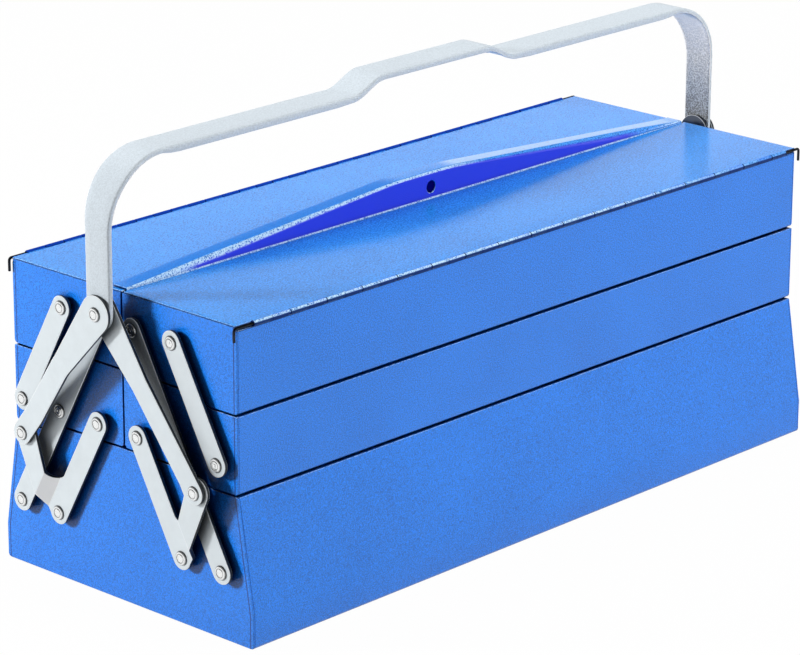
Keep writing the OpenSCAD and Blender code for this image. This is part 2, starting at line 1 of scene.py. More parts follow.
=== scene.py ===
"""Dresses the cantilever tool box: enamelled sheet steel, plated links and rivets, a painted handle."""

import json
import math
from functools import reduce

import bmesh
import bpy
from bpy.props import FloatProperty, FloatVectorProperty, IntProperty, PointerProperty
from bpy.types import Operator, Panel, PropertyGroup
from mathutils import Matrix, Vector

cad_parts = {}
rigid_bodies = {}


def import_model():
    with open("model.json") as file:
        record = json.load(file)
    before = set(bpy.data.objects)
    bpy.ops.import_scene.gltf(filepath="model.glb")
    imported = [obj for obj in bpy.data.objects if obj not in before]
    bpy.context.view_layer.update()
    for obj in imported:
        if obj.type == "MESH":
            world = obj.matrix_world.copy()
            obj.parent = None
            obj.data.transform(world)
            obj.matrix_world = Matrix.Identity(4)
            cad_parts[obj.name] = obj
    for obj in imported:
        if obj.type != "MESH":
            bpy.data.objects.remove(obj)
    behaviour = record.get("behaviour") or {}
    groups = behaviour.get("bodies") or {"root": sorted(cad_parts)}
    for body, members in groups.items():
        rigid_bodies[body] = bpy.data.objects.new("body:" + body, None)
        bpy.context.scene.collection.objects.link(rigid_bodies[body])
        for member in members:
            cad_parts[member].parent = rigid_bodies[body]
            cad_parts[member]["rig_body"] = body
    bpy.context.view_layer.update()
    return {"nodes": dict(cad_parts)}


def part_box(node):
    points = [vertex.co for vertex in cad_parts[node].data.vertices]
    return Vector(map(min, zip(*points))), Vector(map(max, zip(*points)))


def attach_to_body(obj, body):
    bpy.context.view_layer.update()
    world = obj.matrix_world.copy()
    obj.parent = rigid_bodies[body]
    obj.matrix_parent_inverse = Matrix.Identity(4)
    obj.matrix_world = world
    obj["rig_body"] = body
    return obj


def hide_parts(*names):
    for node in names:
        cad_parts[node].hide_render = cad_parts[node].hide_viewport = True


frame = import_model()

bl_info = {
    "name": "Cantilever Tool Box",
    "version": (1, 0, 0),
    "blender": (4, 5, 0),
    "location": "3D View > Sidebar > Tool Box",
    "description": "Dresses a five-tray sheet-steel tool box with enamel, plated links and a painted handle",
    "category": "Object",
}

MM = 0.001
ENDS = ("left", "right")
SIDES = ("front", "back")


def linear(hex_code):
    """Linear colour of an sRGB hex code."""
    parts = [int(hex_code[i:i + 2], 16) / 255 for i in (0, 2, 4)]
    return tuple(c / 12.92 if c <= 0.04045 else ((c + 0.055) / 1.055) ** 2.4 for c in parts)


# ---------------- sizes and colours

def length(name, description, default):
    """A size in metres, given in millimetres."""
    return FloatProperty(name=name, description=description, default=default * MM, min=0,
                         unit="LENGTH", precision=5)


def share(name, description, default):
    """A number from 0 to 1."""
    return FloatProperty(name=name, description=description, default=default, min=0, max=1,
                         subtype="FACTOR")


def power(name, where, default):
    """The power of a lamp in watts."""
    return FloatProperty(name=name, description=f"Power of the lamp {where}", default=default, min=0,
                         unit="POWER")


def colour(name, description, hex_code):
    """A colour, given as an sRGB hex code."""
    return FloatVectorProperty(name=name, description=description, default=linear(hex_code),
                               subtype="COLOR", size=3, min=0, max=1)


class EnamelSettings(PropertyGroup):
    """Blue enamel on the sheet steel, and its edges."""
    blue: colour("Blue", "Colour of the baked enamel", "177ae6")
    # Painted light: a lighter blue for the lids stands in for the light on their tops
    lid_blue_lit: colour("Lid blue", "Colour of the enamel on the lids", "2b88ee")
    # Painted shade: the deeper blue stands in for the shade on the lids' upright flanges
    flange_shade: colour("Deep blue", "Colour of the enamel on the lids' upright flanges", "2535d6")
    # Painted highlight: the pale colour stands in for the lamps' glints on folds, rolled edges and hinges
    painted_highlight: colour("Shine", "Colour of the enamel on folds and rolled edges", "cdeafa")
    # Painted shade under the hinges, in the gaps, behind the lip and on the lids' cut ends
    shadow: colour("Shadow", "Colour of the enamel under the hinges and in the gaps", "081a5c")
    # Painted shade on the back hinge
    hinge_shade: colour("Back hinge", "Colour of the enamel on the back hinge, towards the lid", "0e3ca2")
    peel_spacing: length("Orange-peel spacing", "Distance between the ripples of the enamel", 0.85)
    peel_height: length("Orange-peel height", "Height of the ripples of the enamel", 0.2)
    roughness: share("Roughness", "Blur of the enamel's reflections", 0.2)
    edge: length("Sheet edge radius", "Rounding of the sheets' cut and folded edges", 0.5)
    lid_edge: length("Lid edge radius", "Rounding of the lids' edges", 0.42)


class LinkSettings(PropertyGroup):
    """Zinc-plated links, arms and rivets."""
    zinc: colour("Zinc", "Colour of the plated links and arms", "dce4e8")
    head: colour("Rivet", "Colour of the plated rivets", "f0f2f2")
    # Sheared-edge colour, also used as painted shade on the edges, on the faces towards the box and behind
    # other parts
    cut: colour("Cut edges", "Colour of the sheared edges", "2e3236")
    edge: length("Link edge radius", "Rounding of the stamped edges", 0.45)
    head_radius: length("Rivet head radius", "Radius of the rivet heads", 4.6)
    head_edge: length("Rivet rim", "Height of the upright rim of a rivet head", 0.45)
    head_height: length("Rivet head height", "Height of a rivet head over its seat", 1.4)
    facets: IntProperty(name="Rivet facets", description="Number of sides of a rivet", default=36, min=12)


class HandleSettings(PropertyGroup):
    """Painted strap handle."""
    silver: colour("Silver grey", "Colour of the handle's paint", "c4cdd4")
    # Painted shade: the darker grey stands in for the shade on the legs' inner faces towards the feet
    inner: colour("Inner grey", "Colour of the paint at the feet of the legs' inner faces", "686664")
    bend: colour("Bend grey", "Colour of the paint inside the two bends", "fff4e4")
    leg_width: length("Leg width", "Width of the strap at its legs", 21)
    grip_width: length("Top width", "Width of the strap along its top", 25.8)
    thickness: length("Thickness", "Thickness of the strap", 3.2)
    bend_radius: length("Bend radius", "Outer radius of the two bends", 44)
    rise: length("Rise", "Height of the top over the pivots, beside the grip", 97)
    grip_lift: length("Grip lift", "Height of the grip over the rest of the top", 9.5)
    grip_half: length("Grip half length", "Half length of the raised grip", 49)
    slope: length("Grip slope", "Length of each slope beside the grip", 28)
    edge_depth: length("Edge depth", "Depth of the turned-down edges", 4.8)
    edge_thickness: length("Edge thickness", "Thickness of the turned-down edges", 2)
    edge_start: length("Edge start", "Distance from the middle at which the turned-down edges start", 240)
    corner: length("Corner radius", "Rounding of the strap's long corners", 1.3)
    pivot_radius: length("Pivot hole radius", "Radius of the pivot holes", 3.05)


class LidSettings(PropertyGroup):
    """Lids with their hinges and the locking ridge."""
    sheet: length("Sheet", "Thickness of the lid sheet", 1)
    ridge_y: length("Ridge offset", "Distance of the ridge's front face before the middle plane", 2)
    ridge_height: length("Ridge height", "Height of the ridge in the middle", 18.1)
    ridge_low: length("Ridge end height", "Height of the ridge at its ends", 1.5)
    ridge_top: length("Ridge top", "Half length of the ridge's level top", 28)
    ridge_foot: length("Ridge foot", "Half length at which the ridge reaches its end height", 260)
    ridge_end: length("Ridge end", "Half length of the ridge", 264.5)
    lip: length("Lip", "Depth of the lip over the back lid", 12.5)
    fold: length("Fold radius", "Radius of the fold at the ridge's foot", 1.3)
    crest: length("Crest radius", "Radius of the ridge's top edge in the middle", 2.0)
    crest_end: length("Crest end radius", "Radius of the ridge's top edge at its ends", 6.0)
    hole_radius: length("Padlock hole radius", "Radius of the padlock hole", 4.2)
    hole_offset: length("Padlock hole offset", "Distance of the padlock hole from the ridge's middle", 6.5)
    hole_height: length("Padlock hole height", "Height of the padlock hole over the lid", 7.9)
    hinge_drop: length("Hinge depth", "Depth of the hinge axis under the top of the lid", 0.8)
    barrel: length("Barrel radius", "Outer radius of the hinge barrel", 1.8)
    wire: length("Wire radius", "Radius of the hinge wire", 0.9)
    knuckles: IntProperty(name="Knuckles", description="Number of knuckles along a hinge", default=33, min=3)
    hinge_end: length("Bare wire", "Length of bare wire at each end of a hinge", 12.5)
    knuckle_gap: length("Knuckle gap", "Gap between two knuckles", 0.4)
    edge_gap: length("Barrel gap", "Gap between the lid sheet and the hinge barrel", 0.4)
    wire_drop: length("Wire end", "Length of the wire's turned-down ends", 8.5)


class StageSettings(PropertyGroup):
    """Camera, lamps and floor."""
    lens: FloatProperty(name="Lens", description="Focal length on a 36 mm sensor", default=173.41,
                        unit="CAMERA")
    place: FloatVectorProperty(name="Camera place", description="Where the camera stands", size=3,
                               default=(-1.7700, -1.6405, 0.9197), subtype="TRANSLATION", unit="LENGTH")
    aim: FloatVectorProperty(name="Camera aim", description="Point that the camera looks at", size=3,
                             default=(0.0472, 0.0637, 0.0892), subtype="TRANSLATION", unit="LENGTH")
    roll: FloatProperty(name="Camera roll", description="Turn of the camera about its line of sight",
                        default=math.radians(0.18), subtype="ANGLE")
    key: power("Key lamp", "at the left", 41)
    front: power("Front lamp", "at the front", 60)
    top: power("Top lamp", "overhead", 10)
    rear: power("Rear lamp", "behind", 14)
    side: power("Side lamp", "at the right", 14)
    dome: share("Dome", "Brightness of the surroundings as light", 0.02)
    backdrop: share("Backdrop", "Sine of the angle over the horizon at which the backdrop ends", 0.298)
    fade: share("Backdrop fade", "Half width of the backdrop's soft end, as a sine", 0.025)
    room: share("Room", "Brightness of the room over the backdrop, as gloss reflects it", 0.12)
    floor: colour("Floor", "Colour of the floor", "929292")
    glow: share("Floor white", "Share of the floor's own white in the camera's view", 0.965)


# ---------------- materials

def add_node(tree, kind, sockets=(), **settings):
    """Adds a shader node and returns its outputs. Its sockets, by name or in order, take values
    or the outputs that feed them."""
    node = tree.nodes.new(f"ShaderNode{kind}")
    for name, value in settings.items():
        setattr(node, name, value)
    for name, value in sockets.items() if isinstance(sockets, dict) else enumerate(sockets):
        if isinstance(value, bpy.types.NodeSocket):
            tree.links.new(value, node.inputs[name])
        else:
            node.inputs[name].default_value = value
    return node.outputs


def mask(tree, *terms):
    """Share of a surface where all the terms hold. A term is a share, a (value, start, end) over
    which the share grows from 0 to 1 or between two further numbers, or a list of terms of which
    one has to hold."""
    def join(terms, operation):
        shares = [add_node(tree, "MapRange", term)[0] if isinstance(term, tuple)
                  else join(term, "MAXIMUM") if isinstance(term, list) else term for term in terms]
        return reduce(lambda a, b: add_node(tree, "Math", (a, b), operation=operation)[0], shares)
    return join(terms, "MULTIPLY")


def coat(tree, shade, over, *terms):
    """Lays a colour over a shade where all the terms hold."""
    blend = mask(tree, *terms)
    return add_node(tree, "Mix", {0: blend, 6: shade, 7: (*over, 1)}, data_type="RGBA")[2]


def outward(tree):
    """How far a face looks away from the middle of the box along X: 1 outward, -1 inward."""
    coordinates = add_node(tree, "TexCoord")
    place, facing = (add_node(tree, "SeparateXYZ", [coordinates[name]])["X"] for name in ("Object", "Normal"))
    side = add_node(tree, "Math", [place], operation="SIGN")[0]
    return add_node(tree, "Math", (facing, side), operation="MULTIPLY")[0]


def new_material(name):
    """An empty node material and its tree."""
    material = bpy.data.materials.get(name) or bpy.data.materials.new(name)
    material.use_nodes = True
    material.node_tree.nodes.clear()
    return material, material.node_tree


def blue_enamel(name="stove_enamel_blue", lid=False):
    """Stove enamel, sprayed on pressed sheet steel and baked: a deep even blue under a hard
    gloss, which a fine orange peel breaks into grain. On a lid the peel is wider and flatter; its lighter
    blue is painted light for its lit top, and the deeper blue on its upright flanges is painted shade."""
    s = bpy.context.scene.toolbox_enamel
    # The lids take the lighter blue, painted light for their lit tops
    blue, contrast = (s.lid_blue_lit, 0.42) if lid else (s.blue, 0.3)
    spacing, ripple, roughness = s.peel_spacing, s.peel_height, s.roughness
    if lid:
        spacing, ripple, roughness = 1.2 * spacing, 0.5 * ripple, 0.35 * roughness
    material, tree = new_material(name)
    coordinates = add_node(tree, "TexCoord")
    place = coordinates["Object"]
    # Ripples of the sprayed film, at their real spacing
    peel = {"Vector": place, "Scale": 1 / spacing, "Detail": 1.5, "Roughness": 0.45}
    peel = add_node(tree, "TexNoise", peel)["Fac"]
    # Slow drift of the film's thickness over a hand's breadth
    drift = add_node(tree, "TexNoise", {"Vector": place, "Scale": 1 / (60 * MM), "Detail": 2})["Fac"]
    grain = add_node(tree, "Mix", {0: 0.12, 2: peel, 3: drift}, data_type="FLOAT")[0]
    dark = [c * (1 - contrast) for c in blue]
    light = [min(1, c * (1 + contrast)) for c in blue]
    shade = coat(tree, (*dark, 1), light, (grain, 0.36, 0.64))
    spot = add_node(tree, "SeparateXYZ", [place])
    x, y, z = (spot[axis] for axis in "XYZ")
    facing = add_node(tree, "SeparateXYZ", [coordinates["Normal"]])
    to_x, to_y, to_z = (facing[axis] for axis in "XYZ")
    far_x, far_y, side_x, side_y = (
        add_node(tree, "Math", [value], operation="ABSOLUTE")[0] for value in (x, y, to_x, to_y))

    # Painted highlight: folds and rolled edges get broken white lines, standing in for the lamps' glints on the
    # bends
    fold = mask(tree, (to_z, 0.2, 0.45), (to_z, 0.975, 0.9))
    broken = mask(tree, (peel, 0.34, 0.54))
    # The hinges lie over and outside the walls, and their painted highlight fades towards the right end
    hinge_z, hinge_y, soft = 199.4 * MM, 98.5 * MM, 0.1 * MM
    hinge = mask(tree, (z, hinge_z - soft, hinge_z + soft), (far_y, hinge_y - soft, hinge_y + soft))
    fall = mask(tree, (mask(tree, hinge, (x, 60 * MM, 240 * MM)), 1.25, 0))
    bright = mask(tree, [mask(tree, hinge, fall), mask(tree, (hinge, 1, 0), 0.5)])
    if lid:
        # Half depth of the ridge and its lip, start of their runs out to the lid's ends, top of the
        # fold at the ridge's foot and underside of the lip's top edge
        ridge_half, run_start, fold_top, lip_z = 20 * MM, 205 * MM, 202.5 * MM, 204.5 * MM
        # The upright flanges, but for their runs out, where the left one gets a white painted highlight; the
        # flange under the lip gets painted shadow and the front flange a deeper blue as painted shade
        middle = mask(tree, (far_y, ridge_half + 1 * MM, ridge_half))
        flange = mask(tree, (side_y, 0.7, 0.9), middle)
        shade = coat(tree, shade, s.shadow, flange, (y, 4 * MM, 6 * MM))
        shade = coat(tree, shade, s.flange_shade, flange, (far_x, run_start + 17 * MM, run_start))
        run_out = mask(tree, flange, (x, -run_start, -run_start - 13 * MM))
        # Painted shade dims the lip on its left slope and a painted highlight brightens its right one, whose
        # top edge is left dim instead; the lids' end faces take less of the painted highlight
        lip = mask(tree, (to_z, 0.98, 0.99), middle)
        dim = [0.8 * c for c in s.lid_blue_lit]
        shade = coat(tree, shade, dim, lip, (to_x, -0.01, -0.05), 0.75)
        shade = coat(tree, shade, s.painted_highlight, lip, (to_x, 0.02, 0.06), 0.32)
        top = mask(tree, (x, 25 * MM, 60 * MM), (z, lip_z, lip_z + 1 * MM))
        ends = mask(tree, (side_x, 0.25, 0.5), 0.6)
        bright = mask(tree, (mask(tree, [top, ends]), 1.1, 0), fall)
        # Painted shade darkens the cut ends
        shade = coat(tree, shade, s.shadow, (side_x, 0.8, 0.95), 0.5)
        # The fold at the ridge's foot gets an unbroken line of painted highlight
        even = mask(tree, (z, fold_top + 0.5 * MM, fold_top), middle)
        foot = mask(tree, (to_z, 0.998, 0.99), (to_z, 0.1, 0.3), even)
        fold = mask(tree, [fold, run_out, foot])
        broken = mask(tree, [broken, even])
    else:
        # The trough is hemmed round its end panels, which leaves a seam beside each corner. Its
        # wall leans in from foot to rim, given by height and distance from the middle plane
        (foot_z, foot_y), (rim_z, rim_y) = (22 * MM, 111.5 * MM), (95 * MM, 99.5 * MM)
        wall = add_node(tree, "MapRange", (z, foot_z, rim_z, foot_y, rim_y))[0]
        inset = add_node(tree, "Math", (wall, far_y), operation="SUBTRACT")[0]
        seam = mask(tree, (inset, 2.1 * MM, 2.4 * MM), (inset, 3.2 * MM, 2.9 * MM), (side_x, 0.9, 0.98))
        shade = coat(tree, shade, s.shadow, seam, 0.85)
    # Lays the painted highlight over the folds, rolled edges and hinges
    shade = coat(tree, shade, s.painted_highlight, fold, broken, bright, 0.9)

    # Painted shade darkens the front hinge's underside and the whole back hinge
    away = mask(tree, hinge, (to_y, 0.5, 0.2), (y, 0, 1 * MM))
    shade = coat(tree, shade, s.hinge_shade, away)
    under = mask(tree, hinge, (to_z, 0.4, 0.2))
    # Painted shade darkens the gaps behind the links and between the sheets and dulls their gloss, but not at
    # the foot of the base
    reach = (5 if lid else 18) * MM
    near = add_node(tree, "AmbientOcclusion", {"Distance": reach}, samples=8)["AO"]
    gap = mask(tree, (near, 0.8, 0.3), (z, 4 * MM, 26 * MM))
    shade = coat(tree, shade, s.shadow, [under, gap], 0.9)
    gloss = mask(tree, (mask(tree, [under, gap, away]), 1.1, 0), 0.52 if lid else 0.5)
    bump = add_node(tree, "Bump", {"Strength": 1, "Distance": ripple, "Height": peel})[0]
    surface = add_node(tree, "BsdfPrincipled", {"Base Color": shade, "Roughness": roughness, "IOR": 1.52,
                                                "Specular IOR Level": gloss, "Normal": bump})
    add_node(tree, "OutputMaterial", {"Surface": surface["BSDF"]})
    return material


def zinc_plate(name, shade, roughness, cloud_size, metal, slant=0.55):
    """Zinc plating on stamped steel: a pale satin metal with a faintly cloudy surface and dark
    edges, which are partly dull steel and partly painted shade. The parts lie across the X direction, so their
    edges are the faces square to it.
    metal is how mirror-like the plating is, and slant the share of the normal along X under which
    a face counts as an edge."""
    cut = bpy.context.scene.toolbox_links.cut
    material, tree = new_material(name)
    coordinates = add_node(tree, "TexCoord")
    place = coordinates["Object"]
    cloud = {"Vector": place, "Scale": 1 / cloud_size, "Detail": 3, "Roughness": 0.6}
    cloud = add_node(tree, "TexNoise", cloud)["Fac"]
    shade = coat(tree, (*[c * 0.94 for c in shade], 1), shade, (cloud, 0.3, 0.7))
    facing = add_node(tree, "SeparateXYZ", [coordinates["Normal"]])["X"]
    flat = add_node(tree, "Math", [facing], operation="ABSOLUTE")[0]
    # Sheared edges are dark, partly as torn steel with little plating and partly as painted shade, and the
    # sides towards the box get painted shade
    shade = coat(tree, shade, cut, (flat, slant, slant - 0.35))
    shade = coat(tree, shade, cut, (outward(tree), -0.8, -0.95), 0.8)
    # Painted highlight on the rounded corners beside the cut
    shade = coat(tree, shade, (1, 1, 1), (flat, 0.985, 0.93), (flat, slant, slant + 0.1), 0.8)
    # Painted shade darkens the faces that lie close behind other parts
    near = add_node(tree, "AmbientOcclusion", {"Distance": 14 * MM}, samples=8)["AO"]
    shade = coat(tree, shade, cut, (near, 0.8, 0.3), 0.9)
    # The passivated film scatters a little more in the clouds
    satin = add_node(tree, "MapRange", {0: cloud, 3: roughness * 0.85, 4: roughness * 1.15})[0]
    # Mill grain of the strip, under a tenth of a millimetre, drawn at 0.6 mm so that it shows
    mill = add_node(tree, "TexNoise", {"Vector": place, "Scale": 1 / (0.6 * MM), "Detail": 2})["Fac"]
    bump = add_node(tree, "Bump", {"Strength": 0.5, "Distance": 0.004 * MM, "Height": mill})[0]
    surface = {"Base Color": shade, "Metallic": metal, "Roughness": satin, "Normal": bump}
    surface = add_node(tree, "BsdfPrincipled", surface)
    add_node(tree, "OutputMaterial", {"Surface": surface["BSDF"]})
    return material


def link_zinc():
    """Bright zinc on the links and arms, dulled by handling."""
    return zinc_plate("zinc_plated_steel_links", bpy.context.scene.toolbox_links.zinc, 0.42, 9 * MM, 0.45)


def rivet_zinc():
    """Bright zinc on the rivets, burnished by the setting tool."""
    # On the rivets the high slant paints the sloped ring of each head dark, a painted shade outline
    return zinc_plate("zinc_plated_steel_rivets", bpy.context.scene.toolbox_links.head, 0.25, 3 * MM, 0.8, 0.88)


def silver_paint():
    """Silver-grey hammer paint on bent strap steel: aluminium flakes in a grey lacquer, with a
    soft sheen and a fine pebbled skin."""
    s = bpy.context.scene.toolbox_handle
    material, tree = new_material("silver_hammer_paint")
    place = add_node(tree, "TexCoord")["Object"]
    # Flakes gather in pebbles about a millimetre wide
    pebble = {"Vector": place, "Scale": 1 / (1.1 * MM), "Detail": 2, "Roughness": 0.6}
    pebble = add_node(tree, "TexNoise", pebble)["Fac"]
    dark, light = [c * 0.86 for c in s.silver], [min(1, c * 1.06) for c in s.silver]
    shade = coat(tree, (*dark, 1), light, (pebble, 0.3, 0.66))
    look, height = outward(tree), add_node(tree, "SeparateXYZ", [place])["Z"]
    # The paint is paler on the faces inside the bends, and the legs' inner faces get painted shade:
    # greyer and more speckled towards the feet
    shade = coat(tree, shade, s.bend, (look, 0, -0.3), (height, 205 * MM, 265 * MM), 0.9)
    inside = mask(tree, (look, -0.3, -0.9))
    speckle = mask(tree, (pebble, 0.38, 0.56))
    shade = coat(tree, shade, s.inner, inside, (height, 285 * MM, 205 * MM), [speckle, 0.3])
    shade = coat(tree, shade, s.inner, inside, speckle, 0.2)
    bump = add_node(tree, "Bump", {"Strength": 0.8, "Distance": 0.012 * MM, "Height": pebble})[0]
    surface = {"Base Color": shade, "Roughness": 0.5, "IOR": 1.5, "Normal": bump}
    surface = add_node(tree, "BsdfPrincipled", surface)
    add_node(tree, "OutputMaterial", {"Surface": surface["BSDF"]})
    return material


def dark_wire():
    """Drawn steel wire with a dark oxide skin: near black, with a dull metallic shine."""
    material, tree = new_material("blackened_steel_wire")
    place = add_node(tree, "TexCoord")["Object"]
    # Rubbed spots a few millimetres long, where the oxide has thinned
    rub = add_node(tree, "TexNoise", {"Vector": place, "Scale": 1 / (4 * MM), "Detail": 3})["Fac"]
    shade = coat(tree, (*linear("1c1e24"), 1), linear("3d4149"), (rub, 0.45, 0.75))
    surface = add_node(tree, "BsdfPrincipled", {"Base Color": shade, "Metallic": 1, "Roughness": 0.42})
    add_node(tree, "OutputMaterial", {"Surface": surface["BSDF"]})
    return material


# ---------------- mesh work

def new_piece(name, mesh, material):
    """Shown object of a mesh, with its material."""
    piece = bpy.data.objects.new(name, mesh)
    bpy.context.scene.collection.objects.link(piece)
    mesh.materials.clear()
    mesh.materials.append(material)
    return piece


def mesh_of(bm, name):
    """Mesh of a finished bmesh, with its faces turned outward."""
    bmesh.ops.recalc_face_normals(bm, faces=bm.faces)
    mesh = bpy.data.meshes.new(name)
    bm.to_mesh(mesh)
    bm.free()
    return mesh


def settle(piece):
    """Applies the piece's modifiers."""
    graph = bpy.context.evaluated_depsgraph_get()
    mesh = bpy.data.meshes.new_from_object(piece.evaluated_get(graph), preserve_all_data_layers=True,
                                           depsgraph=graph)
    piece.modifiers.clear()
    piece.data = mesh


def round_edges(piece, radius, angle=32, arc=False):
    """Rounds the piece's sharp edges, so that they catch the light."""
    piece.data.polygons.foreach_set("use_smooth", [True] * len(piece.data.polygons))
    bevel = piece.modifiers.new("edges", "BEVEL")
    bevel.width, bevel.segments = radius, 2
    bevel.limit_method, bevel.angle_limit = "ANGLE", math.radians(angle)
    bevel.use_clamp_overlap = False
    bevel.miter_outer = "MITER_ARC" if arc else "MITER_SHARP"
    flat = piece.modifiers.new("flat_faces", "WEIGHTED_NORMAL")
    flat.mode, flat.weight = "FACE_AREA", 100
    settle(piece)


def smooth(piece, angle=30):
    """Smooth shading that stops at edges sharper than the angle."""
    piece.data.polygons.foreach_set("use_smooth", [True] * len(piece.data.polygons))
    piece.data.set_sharp_from_angle(angle=math.radians(angle))


def bore(piece, centre, axis, radius, depth):
    """Cuts a round hole through the piece."""
    bm = bmesh.new()
    turn = Vector((0, 0, 1)).rotation_difference(Vector(axis)).to_matrix().to_4x4()
    bmesh.ops.create_cone(bm, cap_ends=True, segments=48, radius1=radius, radius2=radius, depth=depth,
                          matrix=Matrix.Translation(centre) @ turn)
    cutter = bpy.data.objects.new("cutter", mesh_of(bm, "cutter"))
    bpy.context.scene.collection.objects.link(cutter)
    cut = piece.modifiers.new("bore", "BOOLEAN")
    cut.operation, cut.solver, cut.object = "DIFFERENCE", "EXACT", cutter
    settle(piece)
    bpy.data.objects.remove(cutter)


def attach(piece, node):
    """Puts a finished piece in the place of a CAD node, on the node's body."""
    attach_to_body(piece, frame["nodes"][node]["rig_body"])
    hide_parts(node)
    return piece


def rounded_copy(node, material, radius, arc=False):
    """Piece in the shape of a CAD node, with its flat faces joined and its edges rounded."""
    bm = bmesh.new()
    bm.from_mesh(frame["nodes"][node].data)
    bmesh.ops.remove_doubles(bm, verts=bm.verts, dist=0.006 * MM)
    bmesh.ops.dissolve_limit(bm, angle_limit=math.radians(0.6), verts=bm.verts, edges=bm.edges)
    piece = new_piece(f"{node}_dressed", mesh_of(bm, node), material)
    round_edges(piece, radius, arc=arc)
    return attach(piece, node)


def loft(bm, rings, capped=True):
    """Faces between successive rings of vertices, and over the first and the last ring."""
    for a, b in zip(rings, rings[1:]):
        for i in range(len(a)):
            bm.faces.new((a[i - 1], a[i], b[i], b[i - 1]))
    if capped:
        bm.faces.new(rings[0])
        bm.faces.new(rings[-1])


def squares(line):
    """Each point of a line that starts with x and z, and the direction square to the line there."""
    for i, point in enumerate(line):
        before, after = line[max(0, i - 1)], line[min(len(line) - 1, i + 1)]
        along = Vector((after[0] - before[0], 0, after[1] - before[1])).normalized()
        yield point, Vector((-along.z, 0, along.x))


def turned_mesh(bm, profile, centre, side, facets):
    """Adds a body turned about the X direction, from (distance along it, radius) pairs."""
    turns = [2 * math.pi * i / facets for i in range(facets)]
    loft(bm, [
        [bm.verts.new((side * x, centre[0] + r * math.cos(a), centre[1] + r * math.sin(a))) for a in turns]
        for x, r in profile
    ])


def islands(node):
    """(lowest corner, highest corner) of each separate solid of a CAD node, in the order of their
    places, because a set gives its vertices in no fixed order."""
    bm = bmesh.new()
    bm.from_mesh(frame["nodes"][node].data)
    bmesh.ops.remove_doubles(bm, verts=bm.verts, dist=0.001 * MM)
    left, found = set(bm.verts), []
    while left:
        stack, group = [left.pop()], []
        while stack:
            vert = stack.pop()
            group.append(vert.co.copy())
            for edge in vert.link_edges:
                other = edge.other_vert(vert)
                if other in left:
                    left.discard(other)
                    stack.append(other)
        found.append((Vector(map(min, *group)), Vector(map(max, *group))))
    bm.free()
    return sorted(found, key=lambda corners: tuple(corners[0]))


def arc_points(centre, radius, start, end, steps):
    """Points of an arc, with angles in degrees."""
    return [
        (centre[0] + radius * math.cos(math.radians(start + (end - start) * i / steps)),
         centre[1] + radius * math.sin(math.radians(start + (end - start) * i / steps)))
        for i in range(steps + 1)
    ]


# ---------------- handle

def handle_line(s, base_z, outer_x):
    """Outer line of the strap from the left foot to the right one: (x, z, half width, edge depth)."""
    half_leg, half_top = s.leg_width / 2, s.grip_width / 2
    top_z = base_z + s.rise
    bend_z = top_z - s.bend_radius
    bend_x = outer_x - s.bend_radius
    wide_z = top_z - s.bend_radius / 4

    def half_width(z):
        u = min(1, max(0, (z - bend_z) / (wide_z - bend_z)))
        return half_leg + (half_top - half_leg) * u

    def depth(x):
        """The edges run out before the bends and grow shallow on the slopes and the grip."""
        out = min(1, max(0, (s.edge_start - abs(x)) / (9 * MM)))
        out = 1 - (1 - out) ** 2
        u = (abs(x) - s.grip_half) / s.slope
        if u <= 0:
            full = 0.45
        elif u < 1:
            full = 0.25 + 0.35 * abs(2 * u - 1) ** 2
        else:
            full = 0.6 + 0.4 * min(1, (u - 1) / 0.5)
        return s.thickness + (s.edge_depth - s.thickness) * full * out

    half = []
    # Round foot about the pivot
    for i in range(1, 15):
        a = math.radians(90 * i / 14)
        half.append((outer_x, base_z - half_leg * math.cos(a), half_leg * math.sin(a), s.thickness))
    for i in range(1, 6):
        half.append((outer_x, base_z + (bend_z - base_z) * i / 5, half_leg, s.thickness))
    for x, z in arc_points((bend_x, bend_z), s.bend_radius, 0, 90, 22)[1:]:
        half.append((x, z, half_width(z), s.thickness))
    inner_x = s.grip_half + s.slope
    for i in range(1, 25):
        x = bend_x - (bend_x - inner_x) * (i / 24)
        half.append((x, top_z, half_top, depth(x)))
    for i in range(1, 21):
        u = i / 20
        x = inner_x - s.slope * u
        half.append((x, top_z + s.grip_lift * u * u * (3 - 2 * u), half_top, depth(x)))
    for i in range(1, 8):
        x = s.grip_half * (1 - i / 8)
        half.append((x, top_z + s.grip_lift, half_top, depth(x)))
    return [(-x, z, w, d) for x, z, w, d in half] + [(0, top_z + s.grip_lift, half_top, depth(0))] \
        + list(reversed(half))


def strap_section(s, w, depth):
    """Closed section of the strap: (sideways, outward) pairs, outward zero at the outer face."""
    t = s.thickness
    corner = min(s.corner, 0.6 * w, 0.4 * t)
    edge = min(s.edge_thickness, 0.4 * w)
    tip = min(0.5 * MM, 0.3 * edge)
    depth = max(depth, t + 0.01 * MM)
    inner = min(0.8 * MM, depth - t)
    right = [(0, 0), (0.5 * w, 0)]
    right += arc_points((w - corner, -corner), corner, 90, 0, 4)
    right += arc_points((w - tip, -depth + tip), tip, 0, -90, 2)
    right += [(w - edge, -depth)]
    right += arc_points((w - edge - inner, -t - inner), inner, 0, 90, 2)
    right += [(0.3 * w, -t)]
    left = [(-y, n) for y, n in reversed(right[1:])]
    return right + [(0, -t)] + left


def handle_mesh(s, base_z, outer_x):
    """The strap, lofted along its line."""
    bm = bmesh.new()
    loft(bm, [
        [bm.verts.new(Vector((x, y, z)) + out * n) for y, n in strap_section(s, w, depth)]
        for (x, z, w, depth), out in squares(handle_line(s, base_z, outer_x))
    ])
    return mesh_of(bm, "handle")


# ---------------- lids

def ridge_height(s, x):
    """Height of the ridge over the lid, with its two corners and its feet eased."""
    def line(v):
        u = max(0, (abs(v) - s.ridge_top) / (s.ridge_foot - s.ridge_top))
        return max(s.ridge_low, s.ridge_height + (s.ridge_low - s.ridge_height) * u)
    # The mean over a short reach eases the corners
    reach = 9 * MM
    return sum(line(x + reach * k / 4) for k in range(-4, 5)) / 9


